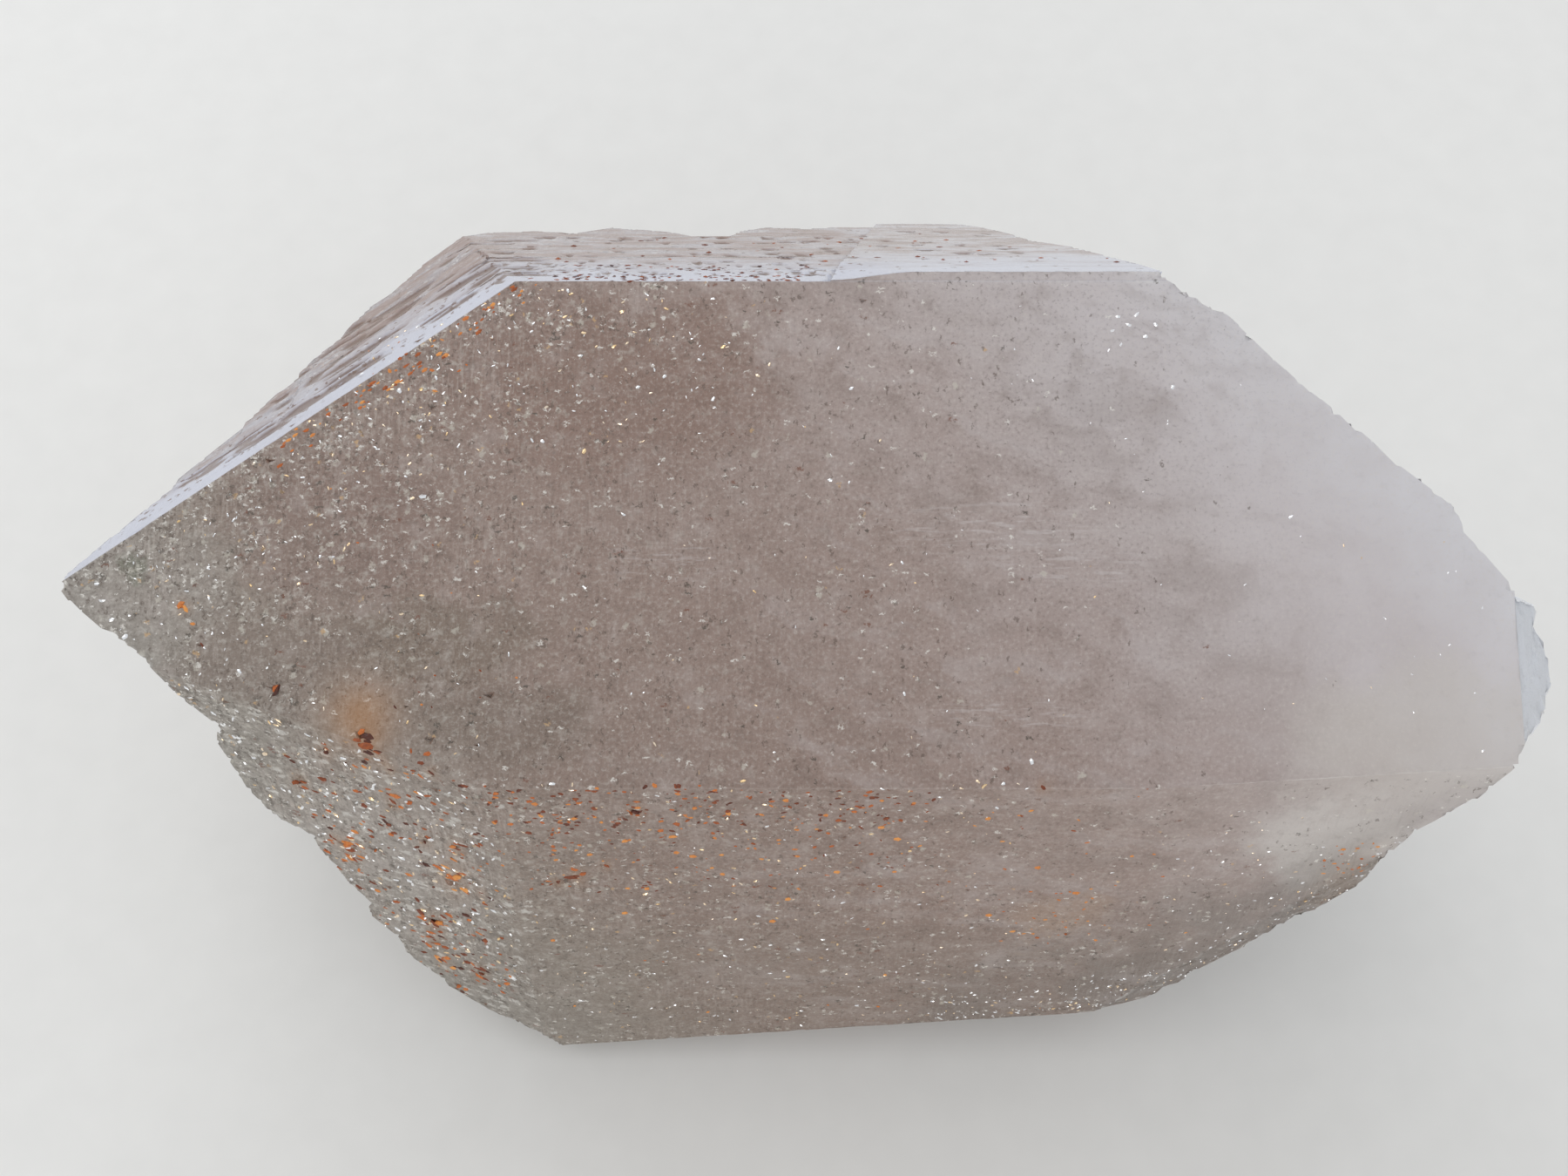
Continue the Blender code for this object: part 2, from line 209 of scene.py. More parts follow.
def slice_kind(kind, direction, spacing):
    """Cuts the faces of one kind with parallel planes."""
    faces = [face for face in bm.faces if face[kind_layer] == kind]
    edges = {edge for face in faces for edge in face.edges}
    verts = {vert for face in faces for vert in face.verts}
    places = [vert.co.dot(direction) for vert in verts]
    geometry = faces + list(edges) + list(verts)
    at = min(places) + spacing / 2 + OFF_CENTRE
    while at < max(places):
        cut = bmesh.ops.bisect_plane(
            bm, geom=geometry, dist=ON_PLANE, plane_co=direction * at, plane_no=direction
        )
        geometry = cut["geom"]
        at += spacing


for kind, families in LATTICE.items():
    for direction, spacing in families:
        slice_kind(kind, direction, spacing * COARSER)
bmesh.ops.triangulate(bm, faces=[face for face in bm.faces if len(face.verts) > 3])
print("cut into", len(bm.faces), "triangles")

# %% [markdown]
# In the solid, the topmost growth layer ends in a sharp little wall at the back edge. On the real
# crystal it fades out over a few millimetres, so the points of its end are drawn in towards the
# layer below: all the way at the wall, and less and less further along.

# %% Fade the end of the top growth layer
FADE_FROM, FADE_OVER = 2.1, 4.5  # where the layer ends, and how far its fading reaches
FADE_START = FADE_FROM - 0.2  # a little before it, to catch the wall's own points
LOWEST_FADE = -2.4  # where the two layers meet
LOWER_LAYER, LOWER_SLOPE = 15.12, 1.57  # how far back the layer below is at the top, and its slope
UPPER_LAYER, UPPER_SLOPE = 15.61, 2.31  # the same for the topmost layer
DRAWN_IN = 0.94  # nearly all the way, so that the two surfaces never touch


def ramp(value, start, length):
    """0 up to start, then growing evenly to 1 over a length."""
    return min(1.0, max(0.0, (value - start) / length))


faded = 0
for vert in bm.verts:
    x, y, z = vert.co
    if not (z > LOWEST_FADE and FADE_START < x < FADE_FROM + FADE_OVER):
        continue
    lower, upper = LOWER_LAYER - z / LOWER_SLOPE, UPPER_LAYER - z / UPPER_SLOPE
    share = ramp(y, lower, max(upper - lower, 0.01))
    t = ramp(x, FADE_FROM, FADE_OVER)
    vert.co.y -= DRAWN_IN * share * max(upper - lower, 0.0) * (1.0 - t * t * (3.0 - 2.0 * t))
    faded += share > 0.0
print("drew in", faded, "points of the topmost growth layer")

# %% [markdown]
# ## Relief
#
# Every surface of the real crystal has its own skin. The growth layers at the back are polished,
# but long lens-shaped grooves and rows of little pits run along them. The front faces are etched
# to a fine grain. The broken walls are chipped and, at the far end, rippled like the inside of a
# shell. All of it is pressed inwards from the solid's surface, so the crystal never grows past its
# size.
#
# The grooves are placed first, in coordinates that run along the top edge and down from it,
# because that is how they lie: they turn the corner with the edge.

# %% Grooves of the growth layers
GROOVE_SEED = 7
CORNER_X, CORNER_Y = -12.7, 14.6  # where the top face's back edge bends
CORNER_LEFT, CORNER_BACK = 0.22, 0.9  # how far the bend moves with each millimetre down
BEFORE_BEND = Vector((0.816, 0.578, 0.0))  # the way the edge runs before the bend
chooser = random.Random(GROOVE_SEED)


def along_edge(point):
    """How far along the back edge a point lies: negative before the bend, positive after it."""
    bend_x = CORNER_X + CORNER_LEFT * point.z
    if point.x > bend_x:
        return point.x - bend_x
    bend = Vector((bend_x, CORNER_Y - CORNER_BACK * point.z, 0.0))
    return (point - bend).dot(BEFORE_BEND)


def grooves(count, stretch, levels, half_lengths, half_widths, depths):
    """Random lens shapes as (along, level, half length, half width, depth), in millimetres."""
    ranges = (stretch, levels, half_lengths, half_widths, depths)
    return [tuple(chooser.uniform(*limits) for limits in ranges) for _ in range(count)]


groove_list = (
    grooves(70, (-19.0, 0.5), (1.1, 4.2), (0.6, 2.2), (0.13, 0.2), (0.07, 0.14))
    + grooves(60, (-15.0, 1.0), (4.0, 11.0), (0.6, 1.8), (0.14, 0.24), (0.06, 0.12))
    + grooves(90, (-1.0, 15.0), (0.9, 4.5), (0.12, 0.34), (0.12, 0.22), (0.06, 0.14))
    + grooves(90, (0.0, 27.0), (4.5, 13.5), (0.16, 0.6), (0.13, 0.26), (0.05, 0.12))
)
print("placed", len(groove_list), "grooves and pits on the growth layers")

# %% [markdown]
# One function gives the depth of the relief at a point of each kind of surface. Noise makes the
# grain and the chips: its size is set by how fast it is read, and taking its absolute value folds
# it into sharp little ridges, which is how chipped quartz looks.

# %% The depth at a point
BREAK_POINT = Vector((34.0, 4.0, -6.0))  # where the blow that broke the end landed
RIPPLE = 1.15  # millimetres from one ripple of the break to the next


def groove_at(point):
    """(share of a groove's middle, depth) at a point of the growth layers."""
    here, level = along_edge(point), -point.z
    best, deep = 0.0, 0.0
    for along, down, half_length, half_width, depth in groove_list:
        if abs(here - along) < half_length and abs(level - down) < half_width:
            reach = ((here - along) / half_length) ** 2 + ((level - down) / half_width) ** 2
            if 1.0 - reach > best:
                best, deep = 1.0 - reach, depth
    return best, deep * math.sqrt(best)


def depth_at(kind, point):
    """How far the relief goes in at a point, in millimetres."""
    if kind == TOP:
        return 0.008 * (1.0 + noise.noise(point * 0.9)) + 0.012 * max(0.0, noise.noise(point * 2.6))
    if kind == FRONT:
        grain = abs(noise.noise(point * 1.7)) + 0.6 * abs(noise.noise(point * 3.9))
        return 0.07 * grain + 0.03 * max(0.0, noise.noise(point * 0.7))
    if kind == GROWTH:
        wave = 0.010 * (1.0 + noise.noise(Vector((point.x * 0.25, point.y * 0.25, point.z * 1.6))))
        return groove_at(point)[1] + wave
    if kind == BROKEN:
        chips = 0.3 * abs(noise.noise(point * 0.75)) + 0.2 * abs(noise.noise(point * 1.9))
        chips += 0.12 * abs(noise.noise(point * 4.1))
        ripple = 0.5 + 0.5 * math.sin((point - BREAK_POINT).length * math.tau / RIPPLE)
        return chips + 0.05 * ripple * ramp(point.x, 20.0, 8.0)
    return 0.03 * (1.0 + noise.noise(Vector((point.x * 1.3, point.y * 0.2, point.z * 0.2))))


middle_of_top = Vector((0.0, 0.0, 0.0))
print("relief in the middle of the top face: {:.3f} mm".format(depth_at(TOP, middle_of_top)))

# %% [markdown]
# A point in the middle of a surface is pressed in along its normal. A point on an edge between two
# surfaces gets the chips of the rougher one, which is what makes the outline slightly ragged, and
# it is marked as an edge so that the material can make it paler: partly the whiteness of bruised
# quartz, partly a painted highlight for the glow of light through thin edges. Edges between natural
# faces are painted less pale than broken ones, and least near the point. The flat that the crystal
# rests on stays flat, and any point that would end below the ground is put back on it.

# %% Press the relief in
REST_DOWN = Vector((0.0, -math.sin(LEAN), -math.cos(LEAN)))
REST_FACE = 0.9999  # a face that looks down this nearly straight is the resting flat
SHARP_EDGE = math.radians(16.0)
EDGE_SHARE = 0.7  # how much of the rougher surface's relief an edge gets


def nicks_at(point):
    """The depth of the extra chips along a broken edge."""
    return 0.14 * abs(noise.noise(point * 3.3)) + 0.2 * abs(noise.noise(point * 1.5))


def wear_and_glow_at(kinds, point):
    """How pale the edge between some kinds of surface is painted: bruising, and a painted
    highlight.
    """
    natural = 0.3 + 0.4 * ramp(point.x, 10.0, 8.0)
    share = natural if kinds <= {TOP, FRONT, GROWTH} else 1.0
    return share * (0.6 + 0.4 * noise.noise(point * 0.6))


# this mark paints edges pale: partly bruised quartz, partly a painted highlight for light glowing
# through thin edges
wear_and_glow_layer = bm.verts.layers.float.new("worn")
groove_layer = bm.verts.layers.float.new("groove")
bm.normal_update()
moves = []
for vert in bm.verts:
    kinds = {face[kind_layer] for face in vert.link_faces}
    if any(face.normal.dot(REST_DOWN) > REST_FACE for face in vert.link_faces):
        continue
    sharp = any(edge.calc_face_angle(0.0) > SHARP_EDGE for edge in vert.link_edges)
    if PIT in kinds:
        depth = 0.0
    elif len(kinds) > 1:
        nicks = nicks_at(vert.co) if BROKEN in kinds else 0.0
        depth = EDGE_SHARE * max(depth_at(kind, vert.co) for kind in kinds) + nicks
    else:
        depth = depth_at(next(iter(kinds)), vert.co)
    if GROWTH in kinds:
        vert[groove_layer] = groove_at(vert.co)[0]
    if sharp and PIT not in kinds:
        vert[wear_and_glow_layer] = wear_and_glow_at(kinds, vert.co)
        depth += 0.05 * max(0.0, noise.noise(vert.co * 1.3))
    moves.append((vert, vert.normal * -depth))
for vert, move in moves:
    vert.co += move
for vert in bm.verts:
    place = to_scene @ vert.co
    if place.z < 0.0:
        vert.co = to_crystal @ Vector((place.x, place.y, 0.0))
print("deepest relief: {:.2f} mm".format(max(move.length for _, move in moves)))

# %% [markdown]
# ## Rust and glints
#
# Two kinds of small thing sit in the skin. Flakes of rust have grown in the etch pits and along
# the front edge, dark red-brown in the thick ones and orange in the thin ones. Tiny clean
# fractures act as mirrors and show as white or golden glints. Painted dots would look flat from
# near by, so both are real flakes: squashed icospheres with a little jitter, each laid on the
# surface and sunk into it, and all those of one kind joined in one mesh. Their places are looked
# up by dropping a ray on the crystal from above. A number kept on each flake's faces tells the
# material which tone it has.

# %% Lay flakes on the surface
FLAKE_SEED = 23
RAY_START = 60.0  # millimetres above the top face
SUNK = 0.1  # how deep a flake sits, as a share of its width
JITTER = (0.7, 1.15)
skin = BVHTree.FromBMesh(bm)
chooser = random.Random(FLAKE_SEED)


def lay_flake(flakes, tone_layer, place, size, tone, flatness=0.3, tilt=0.0):
    """Adds one flake at (x, y), seen from above the top face; size is (length, width, turn)."""
    hit, normal, _, _ = skin.ray_cast(Vector((*place, RAY_START)), -Z)
    if hit is None:
        return
    length, width, turn = size
    along = (X - normal * X.dot(normal)).normalized()
    lie = Matrix((along, normal.cross(along), normal)).transposed().to_4x4()
    lie = Matrix.Translation(hit - normal * SUNK * width) @ lie @ Matrix.Rotation(turn, 4, "Z")
    lie = lie @ Matrix.Rotation(tilt, 4, "X")
    lie = lie @ Matrix.Diagonal((length / 2, width / 2, width * flatness, 1.0))
    made = bmesh.ops.create_icosphere(flakes, subdivisions=1, radius=1.0)["verts"]
    for vert in made:
        vert.co *= chooser.uniform(*JITTER)
    bmesh.ops.transform(flakes, matrix=lie, verts=made)
    for face in {face for vert in made for face in vert.link_faces}:
        face[tone_layer] = tone


def new_flakes():
    """An empty mesh for flakes, and the layer that keeps their tones."""
    flakes = bmesh.new()
    return flakes, flakes.faces.layers.float.new("tone")


def finish_piece(made, name):
    """Turns a mesh in the crystal's frame into an object in the scene's frame."""
    bmesh.ops.transform(made, matrix=to_scene, verts=made.verts)
    mesh = bpy.data.meshes.new(name)
    made.to_mesh(mesh)
    made.free()
    piece = bpy.data.objects.new(name, mesh)
    bpy.context.scene.collection.objects.link(piece)
    return piece


print("flakes will be laid on a skin of", len(bm.faces), "triangles")

# %% [markdown]
# The largest patches of rust are listed one by one: most lie on the left front face. Those longer
# than half a millimetre are heaps of several flakes, dark and light ones in turn, since a single
# flake that large would look like a pebble. The rest is scattered over fields, thickest just below
# the front edge.

# %% Where the rust is
BOLD_RUST = (  # x, y, length, tone: 0 is dark red-brown, 1 is orange
    (-28.1, -0.9, 0.52, 0.7), (-27.6, -1.7, 0.34, 0.9), (-27.1, -2.7, 0.38, 0.2),
    (-19.2, -7.2, 1.0, 0.05), (-21.6, -7.5, 0.6, 0.1), (-18.7, -8.0, 0.45, 0.1),
    (-18.4, -8.4, 0.5, 0.1), (-23.6, -8.7, 0.7, 0.05), (-16.3, -8.6, 0.5, 0.15),
    (-17.3, -9.6, 0.4, 0.1), (-18.8, -9.7, 0.7, 0.35), (-22.8, -11.3, 0.55, 0.3),
    (-22.0, -11.8, 1.1, 0.4), (-17.7, -11.5, 0.6, 0.2), (-16.0, -11.9, 0.7, 0.3),
    (-16.7, -13.3, 1.4, 0.7), (-15.3, -14.0, 0.45, 0.3), (-18.5, -15.6, 1.2, 0.3),
    (-16.3, -15.2, 0.4, 0.1), (-19.0, -16.6, 0.6, 0.3), (-18.6, -17.6, 0.7, 0.6),
    (-16.6, -18.2, 0.9, 0.3), (-6.9, -10.3, 0.58, 0.05), (-10.4, -10.4, 0.37, 0.2),
    (-11.2, -13.5, 0.45, 0.2), (-10.2, -13.2, 0.75, 0.3), (-8.7, -12.7, 0.43, 0.4),
    (11.9, -9.3, 0.45, 0.3), (-11.4, -10.5, 0.4, 0.95), (-14.1, -3.9, 0.2, 0.4),
    (-18.0, -5.6, 0.24, 0.1), (-16.3, -5.6, 0.2, 0.15), (-16.9, -4.9, 0.18, 0.3),
)
BIG_GRAINS = (  # x, y, length, tone
    (-23.6, -4.7, 1.15, 0.0), (-23.57, -4.64, 0.95, 0.6), (-19.5, -6.75, 0.45, 0.7),
    (-28.2, -0.8, 0.5, 0.8), (-16.4, -13.2, 0.8, 1.0), (-22.2, -11.6, 0.8, 0.75),
    (-17.9, -9.8, 0.6, 0.6), (-18.2, -15.5, 0.7, 0.85), (-18.4, -17.4, 0.6, 0.8),
    (-16.2, -11.8, 0.6, 0.8), (-9.9, -13.1, 0.6, 0.6), (-6.8, -10.35, 0.6, 0.1),
)
RUST_FIELDS = (  # how many, range of x, range of y, lengths, least and most tone
    (170, (-14.0, 7.0), (-10.9, -9.4), (0.16, 0.44), (0.05, 0.9)),
    (60, (-14.0, -3.0), (-11.6, -9.2), (0.16, 0.44), (0.1, 0.9)),
    (150, (-14.5, 6.0), (-14.0, -10.6), (0.12, 0.36), (0.15, 1.0)),
    (230, (-24.0, -14.5), (-19.5, -7.5), (0.2, 0.6), (0.0, 0.9)),
    (26, (6.0, 19.0), (-14.0, -9.3), (0.14, 0.4), (0.4, 1.0)),
    (18, (-21.0, -15.0), (8.5, 13.0), (0.14, 0.34), (0.5, 1.0)),
    (14, (-12.0, 22.0), (-21.0, -14.0), (0.16, 0.36), (0.7, 1.0)),
    (34, (10.5, 16.5), (-16.6, -13.8), (0.12, 0.36), (0.6, 1.0)),
    (26, (26.5, 29.0), (-13.2, -11.6), (0.14, 0.34), (0.6, 1.0)),
    (10, (-28.0, -12.0), (-6.0, 6.0), (0.12, 0.22), (0.3, 0.9)),
    (90, (-11.5, 1.0), (15.1, 15.8), (0.2, 0.45), (0.0, 0.5)),
    (60, (-11.0, 1.5), (15.8, 17.4), (0.18, 0.42), (0.0, 0.5)),
    (60, (-12.0, 20.0), (17.0, 22.5), (0.18, 0.45), (0.2, 0.6)),
)
GOLDEN_DOTS = (  # x, y
    (-11.6, -10.0), (-5.3, -11.4), (-5.2, -12.1), (-4.4, -12.3), (-6.8, -13.8), (4.6, -11.0),
    (5.4, -11.5), (0.2, -14.3), (-9.4, -12.2), (-2.6, -10.4), (-0.6, -15.4), (2.6, -13.0),
    (9.6, -10.6), (-8.1, -15.0), (12.4, -12.8), (-12.0, -16.4), (10.4, -15.1), (-7.6, -11.6),
    (-3.0, -13.1), (14.6, -14.0),
)
RIM_FLAKES = 70
print("rust is scattered over", len(RUST_FIELDS), "fields and along the back rim")

# %% Rust flakes
TIP_X, TIP_Y = -33.9, 0.3  # where the crystal's point is
RIM_SLOPE = 0.712  # of the back edge between the point and the bend
LARGE_PATCH, SMALL_PATCH = 0.8, 0.5  # millimetres
LIGHTER = 0.4  # what a light flake of a patch adds to the tone


def rim_y(x):
    """Where the top face ends at the back, left of its bend."""
    return TIP_Y + RIM_SLOPE * (x - TIP_X)


def parts_of(length):
    """How many flakes a patch of rust is made of."""
    return 9 if length > LARGE_PATCH else 4 if length > SMALL_PATCH else 1


flakes, tone_layer = new_flakes()
for x, y, length, tone in BOLD_RUST:
    for part in range(parts_of(length)):
        spread = 0.55 * length * min(part, 1)  # the first flake is in the middle
        place = (x + chooser.uniform(-spread, spread), y + chooser.uniform(-spread, spread))
        turn = chooser.uniform(-0.7, 0.7)
        wide = min(1.2 * length, 0.95) * chooser.uniform(0.45, 1.0)
        size = (wide, wide * chooser.uniform(0.3, 0.55), turn - 0.4)
        lay_flake(flakes, tone_layer, place, size, min(1.0, tone + LIGHTER * (part % 2)))
for x, y, length, tone in BIG_GRAINS:
    flatness = 0.2 + 0.35 * tone  # a light grain stands higher than the dark one under it
    lay_flake(flakes, tone_layer, (x, y), (length, 0.6 * length, 0.7), tone, flatness)
for count, across, back, lengths, tones in RUST_FIELDS:
    for _ in range(count):
        length = chooser.uniform(*lengths)
        size = (length, length * chooser.uniform(0.35, 0.8), chooser.gauss(0.0, 0.5))
        place = (chooser.uniform(*across), chooser.uniform(*back))
        lay_flake(flakes, tone_layer, place, size, chooser.uniform(*tones))
for _ in range(RIM_FLAKES):
    x = chooser.uniform(-24.0, -12.0)
    place = (x, rim_y(x) - chooser.uniform(0.15, 1.6))
    length = chooser.uniform(0.16, 0.5)
    lay_flake(flakes, tone_layer, place, (length, 0.5 * length, 0.6), chooser.uniform(0.4, 1.0))
for x, y in GOLDEN_DOTS:
    size = (chooser.uniform(0.35, 0.55), 0.36, 0.0)
    lay_flake(flakes, tone_layer, (x, y), size, chooser.uniform(0.8, 1.0))
rust = finish_piece(flakes, "rust_flakes")
print("rust:", len(rust.data.polygons), "faces")

# %% [markdown]
# Glints are the same kind of flake, but each one is tilted, because little mirrors that lie at all
# angles are what makes a broken surface sparkle. They are thickest on the left front face, along
# the lower edge of the broken end and along the back rim.

# %% Where the glints are
BOLD_GLINTS = (  # x, y, length, tone: 0 is white, 1 is golden
    (-11.5, 7.1, 0.3, 0.0), (18.6, 9.8, 0.34, 0.0), (23.9, 3.4, 0.32, 0.0),
    (3.2, 9.7, 0.3, 0.0), (2.2, 5.2, 0.34, 0.0), (3.1, 5.1, 0.22, 0.0),
    (-17.1, 4.4, 0.5, 0.0), (-21.8, 1.5, 0.26, 0.0), (-21.2, 1.5, 0.22, 0.0),
    (-9.5, 6.6, 0.34, 0.9), (11.4, -8.1, 0.42, 0.0), (-18.4, 9.6, 0.4, 0.0),
    (15.8, 12.6, 0.3, 0.0), (16.6, 12.9, 0.4, 0.0), (17.4, 12.3, 0.34, 0.0),
    (16.2, 11.9, 0.26, 0.0), (17.0, 13.4, 0.4, 0.0), (16.1, 13.3, 0.3, 0.0),
    (17.9, 12.9, 0.3, 0.0), (15.6, 11.6, 0.24, 0.0), (-31.9, -0.6, 0.4, 0.0),
    (-31.4, -1.5, 0.34, 0.0), (-32.2, 0.2, 0.3, 0.0), (-30.7, -2.3, 0.4, 0.0),
)
GLINT_FIELDS = (  # how many, range of x, range of y, lengths, share that is golden
    (80, (-26.0, 8.0), (-8.0, 13.0), (0.1, 0.34), 0.4),
    (50, (-10.0, -2.5), (7.0, 14.5), (0.1, 0.36), 0.5),
    (60, (-32.0, -23.0), (-5.0, 4.0), (0.1, 0.24), 0.2),
    (60, (6.0, 33.0), (-8.0, 14.0), (0.08, 0.22), 0.15),
    (260, (-13.0, 12.0), (-22.5, -9.0), (0.12, 0.36), 0.5),
    (60, (4.0, 30.0), (-22.0, -11.0), (0.1, 0.3), 0.4),
    (60, (17.0, 30.0), (-16.0, -10.0), (0.1, 0.3), 0.4),
    (40, (-20.5, -13.0), (8.0, 14.5), (0.14, 0.34), 0.5),
)
LOW_GLINTS, LEFT_GLINTS, RIM_GLINTS = 240, 440, 140
WELL_IN_FRONT, RAY_STEP = -24.0, 0.1  # millimetres


def front_rim_y(x):
    """Where the crystal begins, coming from the front."""
    y = WELL_IN_FRONT
    while y < 0.0 and skin.ray_cast(Vector((x, y, RAY_START)), -Z)[0] is None:
        y += RAY_STEP
    return y


def left_edge_y(x):
    """Where the top face ends in front, left of its corner."""
    return -3.6 - 0.363 * (x + 29.5)


print("the front rim, every 6 mm:", [round(front_rim_y(x), 1) for x in range(2, 32, 6)])


# %% Glints
GLINT_FLATNESS = 0.4


def lay_glint(x, y, lengths, golden):
    """Adds a glint of random length and tilt; golden is the chance that it is golden."""
    length = chooser.uniform(*lengths)
    size = (length, length * chooser.uniform(0.3, 0.6), chooser.uniform(0.0, math.pi))
    tone = chooser.uniform(0.5, 1.0) if chooser.random() < golden else 0.0
    tilt = chooser.gauss(0.0, 0.5)
    lay_flake(flakes, tone_layer, (x, y), size, tone, GLINT_FLATNESS, tilt)


flakes, tone_layer = new_flakes()
for x, y, length, tone in BOLD_GLINTS:
    size = (length, 0.6 * length, chooser.uniform(0.0, math.pi))
    tilt = chooser.uniform(-0.3, 0.3)
    lay_flake(flakes, tone_layer, (x, y), size, tone, GLINT_FLATNESS, tilt)
for _ in range(LOW_GLINTS):
    x = chooser.uniform(8.0, 30.0)
    lay_glint(x, front_rim_y(x) + 0.05 + abs(chooser.gauss(0.0, 1.0)), (0.1, 0.32), 0.2)
for _ in range(LEFT_GLINTS):
    x = chooser.uniform(-28.5, -14.0)
    lay_glint(x, left_edge_y(x) - 0.3 - chooser.uniform(0.0, 9.5), (0.15, 0.5), 0.25)
for _ in range(RIM_GLINTS):
    x = chooser.uniform(-30.0, -10.0)
    lay_glint(x, min(rim_y(x), 14.8) - chooser.uniform(0.3, 3.0) ** 1.9, (0.1, 0.3), 0.35)
for count, across, back, lengths, golden in GLINT_FIELDS:
    for _ in range(count):
        lay_glint(chooser.uniform(*across), chooser.uniform(*back), lengths, golden)
glints = finish_piece(flakes, "glints")
print("glints:", len(glints.data.polygons), "faces")

# %% [markdown]
# Rust also stains the quartz round it. How strong the stain is at each point of the crystal
# depends on how near the larger patches of rust are, so it is worked out here and kept on the
# points, where the material can read it. Three more numbers tell the material which faces are
# pits, growth layers or broken. Then the crystal's mesh is done.

# %% Rust stains
STAINS = [  # middle, reach in millimetres, strength
    (Vector((-19.6, -6.0)), 1.5, 0.8), (Vector((28.4, -13.2)), 1.2, 0.2),
]
STAINING_PATCH = 0.4  # millimetres: shorter patches leave no stain
STAIN_REACH, STAIN_STRENGTH = 0.6, 0.35  # the reach is a share of the patch's length
STAIN_END = 2.2  # reaches from the middle, where nothing is left of a stain
FACING_UP = 0.1
for x, y, length, tone in BOLD_RUST:
    if length > STAINING_PATCH:
        STAINS.append((Vector((x, y)), STAIN_REACH * length, STAIN_STRENGTH))
stain_layer = bm.verts.layers.float.new("stain")
for vert in bm.verts:
    if vert.normal.z < FACING_UP:
        continue
    for middle, reach, strength in STAINS:
        gap = (vert.co.xy - middle).length / reach
        if gap < STAIN_END:
            vert[stain_layer] = min(1.0, vert[stain_layer] + strength * math.exp(-gap * gap))
print("stains:", len(STAINS))

# %% The finished crystal mesh
SMOOTH_BELOW = math.radians(24.0)
for name, kind in (("pit", PIT), ("growth", GROWTH), ("broken", BROKEN)):
    layer = bm.faces.layers.float.new(name)
    for face in bm.faces:
        face[layer] = float(face[kind_layer] == kind)
crystal = finish_piece(bm, "smoky_crystal")
crystal.data.shade_smooth()
crystal.data.set_sharp_from_angle(angle=SMOOTH_BELOW)
print("crystal:", len(crystal.data.polygons), "triangles")

# %% [markdown]
# ## Shader maths in plain Python
#
# A material is a net of small nodes. Wiring it by hand gets long, so one small class holds the end
# of a wire and lets Python's own operators add the Math nodes. Another holds the material and has
# the one method that adds any other node.

# %% Wires and recipes
class Wire:
    """The end of a wire in a material; an operator on it adds a Math node."""

    def __init__(self, recipe, socket):
        self.recipe = recipe
        self.socket = socket

    def maths(self, operation, *values):
        """A Math node on numbers or wires."""
        return self.recipe.node("ShaderNodeMath", {"operation": operation}, dict(enumerate(values)))

    def __add__(self, other):
        return self.maths("ADD", self, other)

    def __sub__(self, other):
        return self.maths("SUBTRACT", self, other)

    def __rsub__(self, other):
        return self.maths("SUBTRACT", other, self)

    def __mul__(self, other):
        return self.maths("MULTIPLY", self, other)

    def __truediv__(self, other):
        return self.maths("DIVIDE", self, other)

    def __rtruediv__(self, other):
        return self.maths("DIVIDE", other, self)

    def __pow__(self, other):
        return self.maths("POWER", self, other)

    def __rpow__(self, other):
        return self.maths("POWER", other, self)

    __radd__ = __add__
    __rmul__ = __mul__

    def beside(self, output):
        """Another output of the node that this wire leaves."""
        return Wire(self.recipe, self.socket.node.outputs[output])

    def between(self, low, high):
        """0 at low, 1 at high, and smooth from one to the other."""
        sockets = {"Value": self, "From Min": low, "From Max": high}
        return self.recipe.node("ShaderNodeMapRange", {"interpolation_type": "SMOOTHSTEP"}, sockets)


